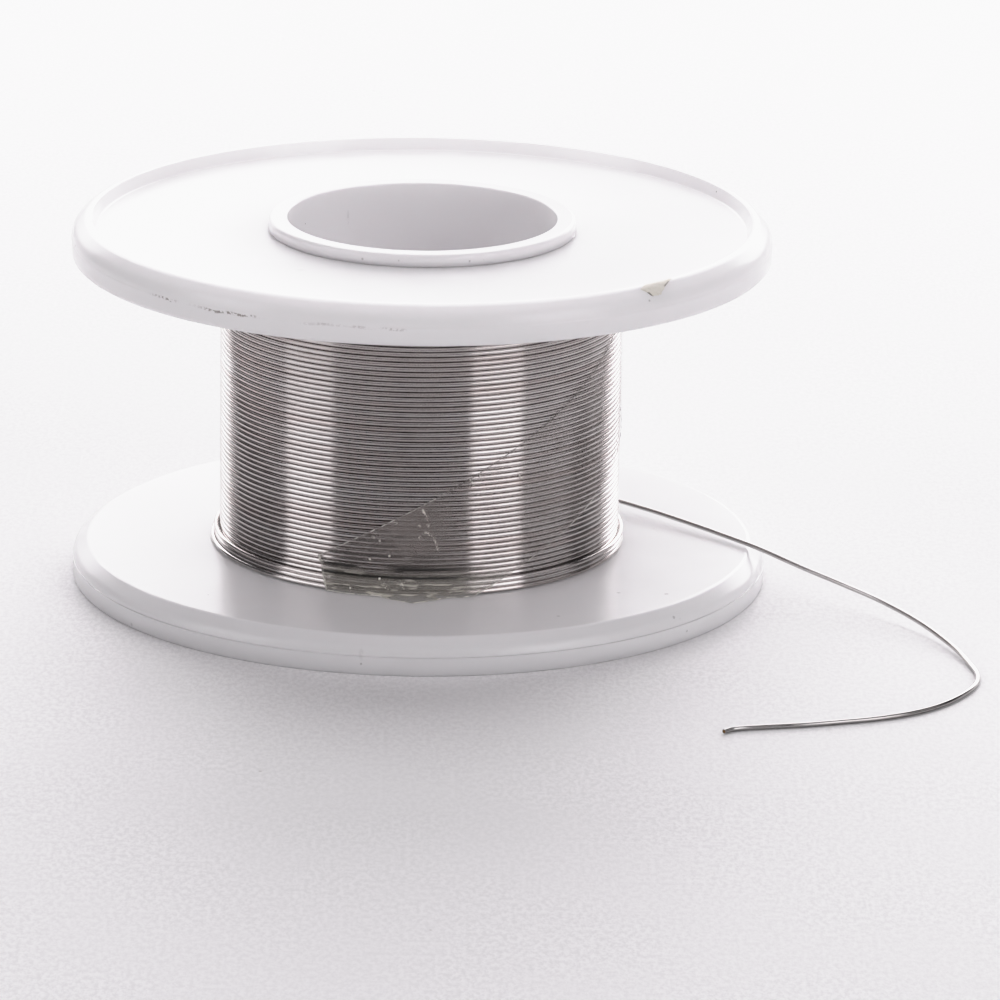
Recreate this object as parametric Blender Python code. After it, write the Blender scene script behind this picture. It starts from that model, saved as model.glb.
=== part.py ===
"""Solder wire spool: two moulded flanges on a core tube, wound with one thin solder wire.

Metres, +Z up. The origin is on the spool's axis, on the surface that its lower rim stands on.
Angles round the spool are measured from its front, the -Y side, and grow towards +X.
"""
import math

import bmesh
import bpy
from mathutils import Vector

MM = 0.001

# Driving dimensions, in millimetres.
WIRE_DIAMETER = 0.4
FLANGE_RADIUS = 28.0
FLANGE_THICKNESS = 2.9
RIM_TO_RIM = 29.3
RIM_WIDTH = 2.0
RIM_ROUND = 1.0
RIM_DRAFT = 0.25
WEB_RECESS = 0.75
BORE_RADIUS = 10.8
NECK_RADIUS = 12.0
BARREL_RADIUS = 13.2
LIP_ABOVE_RIM = 0.25
LIP_BELOW_RIM = 0.1
LIP_HEIGHT = 0.6
LIP_FLAT_RADIUS = 11.1
HUB_RADIUS = 12.5
HUB_HEIGHT = 0.2
HUB_DRAFT = 0.1
WINDING_RADIUS = 16.14
LAST_TURNS_RADIUS = 16.85
LAST_TURNS = 3
GAP = 0.1

# Heights that follow from them.
LOWER_FACE = FLANGE_THICKNESS
UPPER_FACE = RIM_TO_RIM - FLANGE_THICKNESS
CORE_BOTTOM = LIP_BELOW_RIM
CORE_TOP = RIM_TO_RIM + LIP_ABOVE_RIM
OUTER_LAYER_INSIDE = WINDING_RADIUS - 0.85 * WIRE_DIAMETER

# The tape: a strip that climbs as it goes round, folded over the loose turns at its lower end.
TAPE_THICKNESS = 0.12
TAPE_CLIMB = 0.56
TAPE_START_ANGLE = -28.2
TAPE_FOLD_END_ANGLE = 27.4
TAPE_FAR_ANGLE = 98.0
TAPE_START_HEIGHT = 5.7
TAPE_FOLD_HEIGHT = 4.5
TAPE_STANDOFF = 0.16
TAPE_FLAP_ANGLE = -1.2
TAPE_FLAP_SPREAD = 9.0
TAPE_FLAP_REACH = 1.4
TAPE_FLAP_MARGIN = 0.25

# The free tail of the wire, from where it leaves the loose turns, over the lower rim, to its cut end.
TAIL_ROUTE = [
    (15.0, 8.9, 3.70),
    (18.7, 5.6, 3.58),
    (21.0, 3.4, 3.47),
    (24.2, 0.1, 3.31),
    (27.3, -3.45, 3.17),
    (30.9, -6.7, 2.50),
    (33.8, -9.2, 2.00),
    (36.8, -11.9, 1.45),
    (39.6, -15.5, 0.90),
    (41.9, -20.2, 0.45),
    (43.0, -24.0, 0.25),
    (43.4, -26.6, 0.21),
    (43.1, -28.9, 0.21),
    (42.1, -31.3, 0.21),
    (40.3, -33.9, 0.21),
    (38.1, -35.9, 0.21),
    (35.3, -37.4, 0.21),
    (32.2, -38.4, 0.21),
    (29.3, -39.2, 0.21),
    (26.2, -39.8, 0.21),
    (24.1, -40.3, 0.21),
    (23.2, -41.0, 0.21),
]
TAIL_SPACING = 2.6 * WIRE_DIAMETER

TURN_STEPS = 64
SMOOTH_ANGLE = math.radians(35)


def clear_scene():
    for item in list(bpy.data.objects):
        bpy.data.objects.remove(item, do_unlink=True)


def make_material(name, colour, roughness, metallic=0.0, alpha=1.0):
    material = bpy.data.materials.new(name)
    material.use_nodes = True
    shader = material.node_tree.nodes["Principled BSDF"]
    shader.inputs["Base Color"].default_value = (*colour, 1.0)
    shader.inputs["Roughness"].default_value = roughness
    shader.inputs["Metallic"].default_value = metallic
    shader.inputs["Alpha"].default_value = alpha
    return material


def place(name, data, material, parent):
    item = bpy.data.objects.new(name, data)
    data.materials.append(material)
    bpy.context.collection.objects.link(item)
    item.parent = parent
    return item


def arc(centre, radii, start, end, steps):
    """Points of an elliptical arc in the radius-height plane, angles in degrees from outwards."""
    points = []
    for step in range(steps + 1):
        angle = math.radians(start + (end - start) * step / steps)
        points.append((centre[0] + radii[0] * math.cos(angle), centre[1] + radii[1] * math.sin(angle)))
    return points


def turned_solid(name, profile, material, parent):
    """Turn a closed (radius, height) outline, which runs down its outer side, round the Z axis."""
    mesh = bpy.data.meshes.new(name)
    count = len(profile)
    corners = [(radius * MM, 0.0, height * MM) for radius, height in profile]
    sides = [(index, (index + 1) % count) for index in range(count)]
    mesh.from_pydata(corners, sides, [])
    item = place(name, mesh, material, parent)
    turn = item.modifiers.new("turn", "SCREW")
    turn.axis = "Z"
    turn.angle = math.tau
    turn.steps = TURN_STEPS
    turn.render_steps = TURN_STEPS
    turn.use_merge_vertices = True
    turn.merge_threshold = 1e-6
    turn.use_smooth_shade = True
    return item


def flange_profile():
    """Outline of a flange whose outer face looks up, with its inner face at height 0."""
    web = FLANGE_THICKNESS - WEB_RECESS
    hub_top = web + HUB_HEIGHT
    hole = NECK_RADIUS + GAP
    round_centre = FLANGE_RADIUS - RIM_ROUND
    radii = (RIM_ROUND, RIM_ROUND)
    rim_inside = FLANGE_RADIUS - RIM_WIDTH
    profile = arc((round_centre, FLANGE_THICKNESS - RIM_ROUND), radii, 90, 0, 5)
    profile += arc((round_centre, RIM_ROUND), radii, 0, -90, 5)
    profile += [(hole, 0.0), (hole, hub_top)]
    profile += [(HUB_RADIUS - HUB_DRAFT, hub_top), (HUB_RADIUS, web)]
    profile += [(rim_inside, web), (rim_inside + RIM_DRAFT, FLANGE_THICKNESS)]
    return profile


def make_flange(name, inner_face, looks_up, material, parent):
    profile = flange_profile()
    if not looks_up:
        profile = [(radius, -height) for radius, height in reversed(profile)]
    flange = turned_solid(name, profile, material, parent)
    flange.location.z = inner_face * MM
    return flange


def make_core_tube(material, parent):
    """A tube with a shoulder for each flange and a rounded lip at each end."""
    lip = (NECK_RADIUS - LIP_FLAT_RADIUS, LIP_HEIGHT)
    inner_round = LIP_FLAT_RADIUS - BORE_RADIUS
    inner = (inner_round, inner_round)
    upper_shoulder = UPPER_FACE - GAP
    lower_shoulder = LOWER_FACE + GAP
    profile = arc((LIP_FLAT_RADIUS, CORE_TOP - LIP_HEIGHT), lip, 90, 0, 5)
    profile += [(NECK_RADIUS, upper_shoulder), (BARREL_RADIUS, upper_shoulder)]
    profile += [(BARREL_RADIUS, lower_shoulder), (NECK_RADIUS, lower_shoulder)]
    profile += arc((LIP_FLAT_RADIUS, CORE_BOTTOM + LIP_HEIGHT), lip, 0, -90, 5)
    profile += arc((LIP_FLAT_RADIUS, CORE_BOTTOM + inner_round), inner, -90, -180, 2)[1:]
    profile += arc((LIP_FLAT_RADIUS, CORE_TOP - inner_round), inner, 180, 90, 2)[:-1]
    return turned_solid("core_tube", profile, material, parent)


def make_ring(name, inside, outside, low, high, material, parent):
    profile = [(outside, high), (outside, low), (inside, low), (inside, high)]
    return turned_solid(name, profile, material, parent)


def tape_top(angle):
    """Height of the tape's upper edge at an angle round the spool."""
    run = math.radians(angle - TAPE_START_ANGLE) * WINDING_RADIUS
    return TAPE_START_HEIGHT + TAPE_CLIMB * run


def tape_bottom(angle):
    """Height of the tape's lower edge, past the end of its fold."""
    run = math.radians(angle - TAPE_FOLD_END_ANGLE) * WINDING_RADIUS
    return TAPE_FOLD_HEIGHT + TAPE_CLIMB * run


def around(radius, angle, height):
    turn = math.radians(angle)
    return Vector((radius * math.sin(turn), -radius * math.cos(turn), height)) * MM


def add_grid(shape, rows):
    """Bridge neighbouring rows of vertices with four-sided faces."""
    for upper, lower in zip(rows, rows[1:]):
        for left in range(len(lower) - 1):
            corners = (upper[left], lower[left], lower[left + 1], upper[left + 1])
            shape.faces.new(corners)


def make_clear_tape(material, parent):
    """A thin strip on the winding, stepped out over the loose turns and down onto the lower flange."""
    on_winding = WINDING_RADIUS + TAPE_STANDOFF
    over_turns = LAST_TURNS_RADIUS + 0.2
    flat = LOWER_FACE + 0.2
    fold_columns = 9
    far_columns = 11
    shape = bmesh.new()

    fold_angles = []
    for column in range(fold_columns + 1):
        share = column / fold_columns
        fold_angles.append(TAPE_START_ANGLE + (TAPE_FOLD_END_ANGLE - TAPE_START_ANGLE) * share)
    far_angles = []
    for column in range(1, far_columns + 1):
        share = column / far_columns
        far_angles.append(TAPE_FOLD_END_ANGLE + (TAPE_FAR_ANGLE - TAPE_FOLD_END_ANGLE) * share)

    climb_rows = []
    for row in range(4):
        share = row / 3
        heights = []
        for angle in fold_angles:
            heights.append((angle, tape_top(angle) + (TAPE_FOLD_HEIGHT - tape_top(angle)) * share))
        for angle in far_angles:
            heights.append((angle, tape_top(angle) + (tape_bottom(angle) - tape_top(angle)) * share))
        climb_rows.append([shape.verts.new(around(on_winding, angle, height)) for angle, height in heights])
    add_grid(shape, climb_rows)

    # Each row of the fold ends a little further left, because the strip's lower edge runs aslant.
    fold_rows = [climb_rows[-1][:fold_columns + 1]]
    for radius, height, end_angle in ((over_turns, TAPE_FOLD_HEIGHT - 0.2, 25.9), (over_turns, flat, 19.7)):
        row = []
        for column in range(fold_columns + 1):
            angle = TAPE_START_ANGLE + (end_angle - TAPE_START_ANGLE) * column / fold_columns
            row.append(shape.verts.new(around(radius, angle, height)))
        fold_rows.append(row)
    flap_row = []
    for column in range(fold_columns + 1):
        angle = TAPE_START_ANGLE + (19.0 - TAPE_START_ANGLE) * column / fold_columns
        nearness = max(0.0, 1.0 - abs(angle - TAPE_FLAP_ANGLE) / TAPE_FLAP_SPREAD)
        reach = TAPE_FLAP_MARGIN + TAPE_FLAP_REACH * nearness
        flap_row.append(shape.verts.new(around(over_turns + reach, angle, flat)))
    fold_rows.append(flap_row)
    add_grid(shape, fold_rows)

    mesh = bpy.data.meshes.new("clear_tape")
    shape.to_mesh(mesh)
    shape.free()
    tape = place("clear_tape", mesh, material, parent)
    skin = tape.modifiers.new("thickness", "SOLIDIFY")
    skin.thickness = TAPE_THICKNESS * MM
    skin.offset = 0.0
    skin.use_even_offset = True
    return tape


def smooth_route(points, spacing):
    """Read a Catmull-Rom curve through the points, one reading about every spacing."""
    knots = [Vector(point) for point in points]
    knots = [2 * knots[0] - knots[1]] + knots + [2 * knots[-1] - knots[-2]]
    fine = []
    for first, start, end, last in zip(knots, knots[1:], knots[2:], knots[3:]):
        for step in range(20):
            t = step / 20
            linear = (end - first) * t
            square = (2 * first - 5 * start + 4 * end - last) * t ** 2
            cube = (3 * start - first - 3 * end + last) * t ** 3
            fine.append(start + 0.5 * (linear + square + cube))
    fine.append(knots[-2])

    length = sum((after - before).length for before, after in zip(fine, fine[1:]))
    count = round(length / spacing)
    readings = [fine[0]]
    travelled = 0.0
    for before, after in zip(fine, fine[1:]):
        travelled += (after - before).length
        if travelled >= len(readings) * length / count - 1e-6 and len(readings) < count:
            readings.append(after)
    readings.append(fine[-1])
    return readings


def make_wire_tail(material, parent):
    points = smooth_route(TAIL_ROUTE, TAIL_SPACING)
    curve = bpy.data.curves.new("wire_tail", "CURVE")
    curve.dimensions = "3D"
    curve.bevel_depth = WIRE_DIAMETER / 2 * MM
    curve.bevel_resolution = 2
    curve.use_fill_caps = True
    spline = curve.splines.new("POLY")
    spline.points.add(len(points) - 1)
    for knot, point in zip(spline.points, points):
        knot.co = (*(point * MM), 1.0)
    return place("wire_tail", curve, material, parent)


def shade_round_pieces():
    for item in bpy.data.objects:
        if item.type == "MESH":
            item.data.shade_smooth()
            item.data.set_sharp_from_angle(angle=SMOOTH_ANGLE)


def build():
    clear_scene()
    spool = bpy.data.objects.new("spool_axis", None)
    bpy.context.collection.objects.link(spool)
    free_end = bpy.data.objects.new("unwinding_axis", None)
    bpy.context.collection.objects.link(free_end)
    free_end.parent = spool

    white_plastic = make_material("white_plastic", (0.87, 0.87, 0.89), 0.22)
    solder = make_material("solder", (0.66, 0.64, 0.62), 0.28, metallic=1.0)
    film = make_material("film", (0.80, 0.79, 0.70), 0.15, alpha=0.4)

    make_flange("lower_flange", LOWER_FACE, False, white_plastic, spool)
    make_flange("upper_flange", UPPER_FACE, True, white_plastic, spool)
    make_core_tube(white_plastic, spool)

    low = LOWER_FACE + GAP
    high = UPPER_FACE - GAP
    make_ring("inner_layers", BARREL_RADIUS + GAP, OUTER_LAYER_INSIDE - GAP, low, high, solder, spool)
    make_ring("outer_layer", OUTER_LAYER_INSIDE, WINDING_RADIUS, low, high, solder, spool)
    turns_top = low + LAST_TURNS * WIRE_DIAMETER
    make_ring("last_turns", WINDING_RADIUS + GAP, LAST_TURNS_RADIUS, low, turns_top, solder, spool)

    make_clear_tape(film, spool)
    make_wire_tail(solder, free_end)
    shade_round_pieces()


build()
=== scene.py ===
"""Looks of the solder wire spool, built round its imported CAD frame.

Metres, +Z up, in the CAD's own frame. Lengths in the pieces' own code are millimetres, times MM.
Angles round the spool are in degrees from its front, the -Y side, and grow towards +X.
"""
import math

import bmesh
import bpy
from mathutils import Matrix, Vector, noise


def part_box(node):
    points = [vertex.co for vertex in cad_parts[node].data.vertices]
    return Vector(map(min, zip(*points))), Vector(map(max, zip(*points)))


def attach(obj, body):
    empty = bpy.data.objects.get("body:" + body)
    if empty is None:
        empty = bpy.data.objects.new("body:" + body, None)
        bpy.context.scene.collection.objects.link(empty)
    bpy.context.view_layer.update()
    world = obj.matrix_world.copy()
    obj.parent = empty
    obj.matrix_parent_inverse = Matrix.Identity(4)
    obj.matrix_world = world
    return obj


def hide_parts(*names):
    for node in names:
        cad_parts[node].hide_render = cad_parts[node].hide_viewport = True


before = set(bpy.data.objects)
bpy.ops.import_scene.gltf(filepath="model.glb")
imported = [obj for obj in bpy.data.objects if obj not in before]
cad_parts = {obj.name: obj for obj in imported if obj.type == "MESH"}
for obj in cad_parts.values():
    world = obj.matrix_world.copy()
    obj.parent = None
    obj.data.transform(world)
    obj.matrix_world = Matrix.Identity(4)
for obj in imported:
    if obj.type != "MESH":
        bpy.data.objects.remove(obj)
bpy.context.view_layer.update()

MM = 0.001


def reach(node):
    """Outer radius, lowest and highest point of a CAD node, in millimetres."""
    low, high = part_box(node)
    return high.x / MM, low.z / MM, high.z / MM


# What the frame says.
RIM_RADIUS, FLOOR_LEVEL, LOWER_FACE = reach("lower_flange")
_, UPPER_FACE, RIM_TOP = reach("upper_flange")
BARREL_RADIUS, CORE_BOTTOM, CORE_TOP = reach("core_tube")
WINDING_RADIUS, WINDING_LOW, WINDING_HIGH = reach("outer_layer")
_, LOOSE_LOW, _ = reach("last_turns")

# The flanges, in millimetres. Each one's upper edge slopes down from a bend to its upright side.
FLANGE_THICKNESS = LOWER_FACE - FLOOR_LEVEL
RIM_WIDTH = 2.0
RIM_DRAFT = 0.38
WEB_RECESS = 0.75
WEB_CORNER_ROUND = 0.15
HOLE_EDGE_ROUND = 0.1
PARTING_RIDGE = 0.03
PARTING_HALF_WIDTH = 0.05
SLOPE_DROP = 0.9
UPPER_BEND_RADIUS = 26.85
UPPER_BEND_ROUND = 0.8
UPPER_SHOULDER_ROUND = 1.3
UPPER_WINDING_EDGE_ROUND = 0.4
CREST_RISE = 0.21
CREST_INNER_ROUND = 0.05
LOWER_BEND_RADIUS = 26.75
LOWER_BEND_ROUND = 0.6
LOWER_SHOULDER_ROUND = 1.0
FOOT_OUTER_ROUND = 0.14
FOOT_INNER_ROUND = 0.12

# The core, in millimetres.
COLLAR_TOP = 12.27
COLLAR_ROUND = 0.32
COLLAR_FOOT = 12.3
SEAT_GAP = 0.01
NECK_RADIUS = 12.0
BORE_RADIUS = 10.8
BORE_EDGE_ROUND = 0.15
GAP = 0.1

# The wire, in millimetres and degrees.
WIRE_DIAMETER = 0.4
WIRE_RADIUS = WIRE_DIAMETER / 2
WIRE_PITCH = 0.406
LAYER_STEP = 0.346
FLUX_CORE_SHARE = 0.55
WINDING_START = 200.0
OUTER_CENTRE = WINDING_RADIUS - WIRE_RADIUS
WINDING_HEIGHT_SWAY = 0.022
WINDING_RADIUS_SWAY = 0.014
WINDING_RADIUS_DROP = 0.012

# The loose turns on the winding's lower end, in millimetres. They climb one wire at a time.
LOOSE_TURNS = 3.3
LOOSE_CENTRE = 16.37
LOOSE_CLIMB = 0.385
LOOSE_SWELL = 0.10
LOOSE_SWAY = 0.03
LOOSE_SLACK_SWAY = 0.15
LOOSE_UNEVENNESS = 0.02

# When they climb, and how long it takes to leave the winding, to climb and to meet the tail, in
# turns. The tail leaves them at an angle in degrees.
LOOSE_CLIMBS_AT = (1.08, 2.08)
LOOSE_START_TURNS = 0.18
LOOSE_CLIMB_TURNS = 0.16
LOOSE_LIFT_TURNS = 0.24
LOOSE_LEAVE_TURNS = 0.2
TAIL_LEAVES_AT = 138.7

# The free tail, as in part.py, in metres, from where it leaves the loose turns to its cut end.
TAIL_ROUTE = [
    (0.0109, 0.0125, 0.00428),
    (0.0129, 0.0107, 0.00400),
    (0.0150, 0.0089, 0.00374),
    (0.0187, 0.0056, 0.00358),
    (0.0210, 0.0034, 0.00347),
    (0.0242, 0.0001, 0.00331),
    (0.0273, -0.00345, 0.00317),
    (0.0309, -0.0067, 0.00250),
    (0.0338, -0.0092, 0.00200),
    (0.0368, -0.0119, 0.00145),
    (0.0396, -0.0155, 0.00090),
    (0.0419, -0.0202, 0.00045),
    (0.0430, -0.0240, 0.00025),
    (0.0434, -0.0266, 0.00021),
    (0.0431, -0.0289, 0.00021),
    (0.0421, -0.0313, 0.00021),
    (0.0403, -0.0339, 0.00021),
    (0.0381, -0.0359, 0.00021),
    (0.0353, -0.0374, 0.00021),
    (0.0322, -0.0384, 0.00021),
    (0.0293, -0.0392, 0.00021),
    (0.0262, -0.0398, 0.00021),
    (0.0241, -0.0403, 0.00021),
    (0.0232, -0.0410, 0.00021),
]

# The tape: a strip that climbs as it goes round, folded over the loose turns at its lower end.
# Millimetres and degrees.
TAPE_THICKNESS = 0.05
TAPE_CLIMB = 0.56
TAPE_LOWER_CLIMB = 0.48
TAPE_START_ANGLE = -29.4
TAPE_FOLD_END_ANGLE = 27.4
TAPE_FAR_ANGLE = 98.0
TAPE_START_HEIGHT = 5.5
TAPE_START_LEAN = 4.0
TAPE_FOLD_HEIGHT = 4.4
FOLD_DATUM = 4.75
FLANGE_CONTACT = 3.1
FLAP_ANGLE = -1.2
FLAP_SPREAD = 9.0
FLAP_REACH = 1.4
FLAP_MARGIN = 0.3
CREASE_WIDTH = 0.17
EDGE_WIDTH = 0.12
CUT_END_EDGE = 0.05
SLACK_LIFT = 0.05
CREASE_LIFT = 0.05
RIDGE_LIFT = 0.018
DEEPEST_DIP = 0.02

# Heights of the two grooves under the film that get painted shadow, and the centre of its haze.
SEAM_LOW, SEAM_HIGH = 4.86, 5.12
GROOVE_LOW, GROOVE_HIGH = 4.26, 4.46
HAZE_ANGLE, HAZE_HEIGHT = -2.5, 8.3


# ---------------------------------------------------------------- small tools

def smoothstep(share):
    """A smooth rise from 0 to 1 as the share goes from 0 to 1, and level outside."""
    share = min(1.0, max(0.0, share))
    return share * share * (3.0 - 2.0 * share)


def around(radius, angle, height):
    """A point in metres at a radius, an angle round the spool and a height in millimetres."""
    turn = math.radians(angle)
    return Vector((radius * math.sin(turn), -radius * math.cos(turn), height)) * MM


def ripple(x, y, z=0.0):
    """Smooth noise from about -1 to 1."""
    return noise.noise(Vector((x, y, z)))


def add_object(name, mesh, material):
    item = bpy.data.objects.new(name, mesh)
    mesh.materials.append(material)
    bpy.context.scene.collection.objects.link(item)
    return item


def finish_mesh(name, shape):
    """A smooth mesh from a bmesh, with its faces turned outwards."""
    bmesh.ops.recalc_face_normals(shape, faces=shape.faces)
    mesh = bpy.data.meshes.new(name)
    shape.to_mesh(mesh)
    shape.free()
    mesh.shade_smooth()
    return mesh


def skin_grid(shape, grid):
    """Faces between the neighbouring lines of a grid of vertices."""
    for line, following in zip(grid, grid[1:]):
        for index in range(len(line) - 1):
            shape.faces.new((line[index], line[index + 1], following[index + 1], following[index]))


def keep_flats_flat(item):
    """Keep the flat faces of a smooth piece flat beside its rounded edges."""
    weighting = item.modifiers.new("weighted_normals", "WEIGHTED_NORMAL")
    weighting.weight = 100
    weighting.keep_sharp = True


def rounded(corners, steps=8):
    """Closed outline through (radius, height, rounding) corners."""
    outline = []
    for index, (radius, height, rounding) in enumerate(corners):
        here = Vector((radius, height))
        if rounding == 0:
            outline.append((radius, height))
            continue
        before = (Vector(corners[index - 1][:2]) - here).normalized()
        after = (Vector(corners[(index + 1) % len(corners)][:2]) - here).normalized()
        half = before.angle(after) / 2
        centre = here + (before + after).normalized() * (rounding / math.sin(half))
        start = here + before * (rounding / math.tan(half)) - centre
        end = here + after * (rounding / math.tan(half)) - centre
        first = math.atan2(start.y, start.x)
        sweep = math.atan2(start.x * end.y - start.y * end.x, start.dot(end))
        for step in range(steps + 1):
            angle = first + sweep * step / steps
            x = centre.x + rounding * math.cos(angle)
            y = centre.y + rounding * math.sin(angle)
            outline.append((x, y))
    return outline


def lathe(name, outline, material, steps=256):
    """Turn a closed (radius, height) outline in millimetres round the Z axis."""
    shape = bmesh.new()
    rings = []
    for step in range(steps):
        angle = 360.0 * step / steps
        rings.append([shape.verts.new(around(radius, angle, height)) for radius, height in outline])
    for ring, following in zip(rings, rings[1:] + rings[:1]):
        for index in range(len(outline)):
            after = (index + 1) % len(outline)
            shape.faces.new((ring[index], ring[after], following[after], following[index]))
    item = add_object(name, finish_mesh(name, shape), material)
    keep_flats_flat(item)
    return item


def smooth_route(points, spacing):
    """Read a Catmull-Rom curve through the points, one reading about every spacing."""
    fineness = 40
    knots = [Vector(point) for point in points]
    knots = [2 * knots[0] - knots[1]] + knots + [2 * knots[-1] - knots[-2]]
    fine = []
    for first, start, end, last in zip(knots, knots[1:], knots[2:], knots[3:]):
        for step in range(fineness):
            t = step / fineness
            linear = (end - first) * t
            square = (2 * first - 5 * start + 4 * end - last) * t ** 2
            cube = (3 * start - first - 3 * end + last) * t ** 3
            fine.append(start + 0.5 * (linear + square + cube))
    fine.append(knots[-2])
    length = sum((after - before).length for before, after in zip(fine, fine[1:]))
    count = round(length / spacing)
    readings = [fine[0]]
    travelled = 0.0
    for before, after in zip(fine, fine[1:]):
        travelled += (after - before).length
        if travelled >= len(readings) * length / count and len(readings) < count:
            readings.append(after)
    readings.append(fine[-1])
    return readings


def wire(name, path, material, sides=8, squeeze=None):
    """A round wire along a path in metres. Its length is kept as "along" and its core as "core".

    squeeze gives a pair of factors for its width and its height at each point of the path.
    """
    radius = WIRE_RADIUS * MM
    vertices = []
    along = []
    core = []
    faces = []
    travelled = 0.0
    for index, point in enumerate(path):
        before = path[max(0, index - 1)]
        after = path[min(len(path) - 1, index + 1)]
        tangent = (after - before).normalized()
        side = tangent.cross(Vector((0, 0, 1))).normalized()
        up = side.cross(tangent)
        if index:
            travelled += (point - before).length
        width, height = squeeze[index] if squeeze else (1.0, 1.0)
        for number in range(sides):
            turn = math.tau * number / sides
            out = side * (math.cos(turn) * width) + up * (math.sin(turn) * height)
            vertices.append(point + out * radius)
            along.append(travelled)
            core.append(0.0)
    for index in range(len(path) - 1):
        for number in range(sides):
            after = (number + 1) % sides
            here = index * sides
            there = here + sides
            faces.append((here + number, here + after, there + after, there + number))
    for end, reading in ((0, 0.0), (len(path) - 1, travelled)):
        rim = list(range(end * sides, end * sides + sides))
        inner = list(range(len(vertices), len(vertices) + sides))
        for number in rim:
            vertices.append(path[end] + (vertices[number] - path[end]) * FLUX_CORE_SHARE)
            along.append(reading)
            core.append(1.0)
        for number in range(sides):
            after = (number + 1) % sides
            ring = (rim[number], inner[number], inner[after], rim[after])
            faces.append(ring if end == 0 else ring[::-1])
        faces.append(inner[::-1] if end == 0 else inner)
    mesh = bpy.data.meshes.new(name)
    mesh.from_pydata(vertices, [], faces)
    mesh.attributes.new("along", "FLOAT", "POINT").data.foreach_set("value", along)
    mesh.attributes.new("core", "FLOAT", "POINT").data.foreach_set("value", core)
    shape = bmesh.new()
    shape.from_mesh(mesh)
    bmesh.ops.recalc_face_normals(shape, faces=shape.faces)
    shape.to_mesh(mesh)
    shape.free()
    mesh.shade_smooth()
    mesh.set_sharp_from_angle(angle=math.radians(60))
    return add_object(name, mesh, material)


# ---------------------------------------------------------------- materials

class Nodes:
    """Short calls that build one node tree."""

    def __init__(self, tree):
        self.tree = tree

    def add(self, kind, settings=None, **inputs):
        """A node. inputs are values or the outputs of other nodes, by socket name."""
        node = self.tree.nodes.new("ShaderNode" + kind)
        for name, value in (settings or {}).items():
            setattr(node, name, value)
        for name, value in inputs.items():
            self.feed(node.inputs[name.replace("_", " ")], value)
        return node

    def feed(self, socket, value):
        if isinstance(value, bpy.types.NodeSocket):
            self.tree.links.new(value, socket)
        elif isinstance(value, bpy.types.Node):
            self.tree.links.new(value.outputs[0], socket)
        else:
            socket.default_value = value

    def math(self, operation, first, second=0.0):
        node = self.tree.nodes.new("ShaderNodeMath")
        node.operation = operation
        self.feed(node.inputs[0], first)
        self.feed(node.inputs[1], second)
        return node.outputs[0]

    def remap(self, value, low, high, to_low=0.0, to_high=1.0):
        """Smooth step from to_low at low to to_high at high."""
        node = self.tree.nodes.new("ShaderNodeMapRange")
        node.interpolation_type = "SMOOTHSTEP"
        self.feed(node.inputs["Value"], value)
        self.feed(node.inputs["From Min"], low)
        self.feed(node.inputs["From Max"], high)
        self.feed(node.inputs["To Min"], to_low)
        self.feed(node.inputs["To Max"], to_high)
        return node.outputs["Result"]

    def band(self, value, low, high, soft):
        """1 between low and high, and 0 outside, with soft edges."""
        rise = self.remap(value, low - soft, low + soft)
        fall = self.remap(value, high - soft, high + soft, 1.0, 0.0)
        return self.math("MULTIPLY", rise, fall)

    def product(self, *values):
        """All the values multiplied together."""
        total = values[0]
        for value in values[1:]:
            total = self.math("MULTIPLY", total, value)
        return total

    def blend(self, share, first, second):
        """A colour from first, where share is 0, to second, where it is 1."""
        node = self.tree.nodes.new("ShaderNodeMix")
        node.data_type = "RGBA"
        self.feed(node.inputs["Factor"], share)
        self.feed(node.inputs["A"], first)
        self.feed(node.inputs["B"], second)
        return node.outputs["Result"]

    def scaled(self, vector, scale):
        """A vector times a scale: one number, or one for each axis."""
        node = self.tree.nodes.new("ShaderNodeVectorMath")
        node.operation = "MULTIPLY"
        self.feed(node.inputs[0], vector)
        node.inputs[1].default_value = scale if isinstance(scale, tuple) else (scale, scale, scale)
        return node.outputs[0]

    def noise(self, vector, scale, detail=2.0, roughness=0.5):
        """Cloudy noise from 0 to 1. scale is the count of clouds to a metre."""
        vector = self.scaled(vector, scale)
        node = self.add("TexNoise", Vector=vector, Scale=1.0, Detail=detail, Roughness=roughness)
        return node.outputs[0]

    def specks(self, vector, scale, size, share):
        """Sparse round specks. scale is the count of cells to a metre, size a speck's radius in
        cells, and share how many cells have one.
        """
        cells = self.add("TexVoronoi", Vector=self.scaled(vector, scale), Scale=1.0)
        colour = self.add("SeparateColor", Color=cells.outputs["Color"])
        chosen = self.math("LESS_THAN", colour.outputs[0], share)
        near = self.remap(cells.outputs["Distance"], size * 0.5, size, 1.0, 0.0)
        return self.math("MULTIPLY", chosen, near)

    def attribute(self, name):
        """A number kept on the mesh's points."""
        return self.add("Attribute", {"attribute_name": name}).outputs["Fac"]

    def bump(self, height, strength, distance, normal=None):
        node = self.add("Bump", Height=height, Strength=strength, Distance=distance)
        if normal is not None:
            self.feed(node.inputs["Normal"], normal)
        return node.outputs[0]


def new_material(name, **constants):
    """A Principled material with its constants set on the shader, and its node tools."""
    material = bpy.data.materials.new(name)
    material.use_nodes = True
    shader = material.node_tree.nodes["Principled BSDF"]
    for socket, value in constants.items():
        shader.inputs[socket.replace("_", " ")].default_value = value
    return material, Nodes(material.node_tree), shader.inputs


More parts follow.
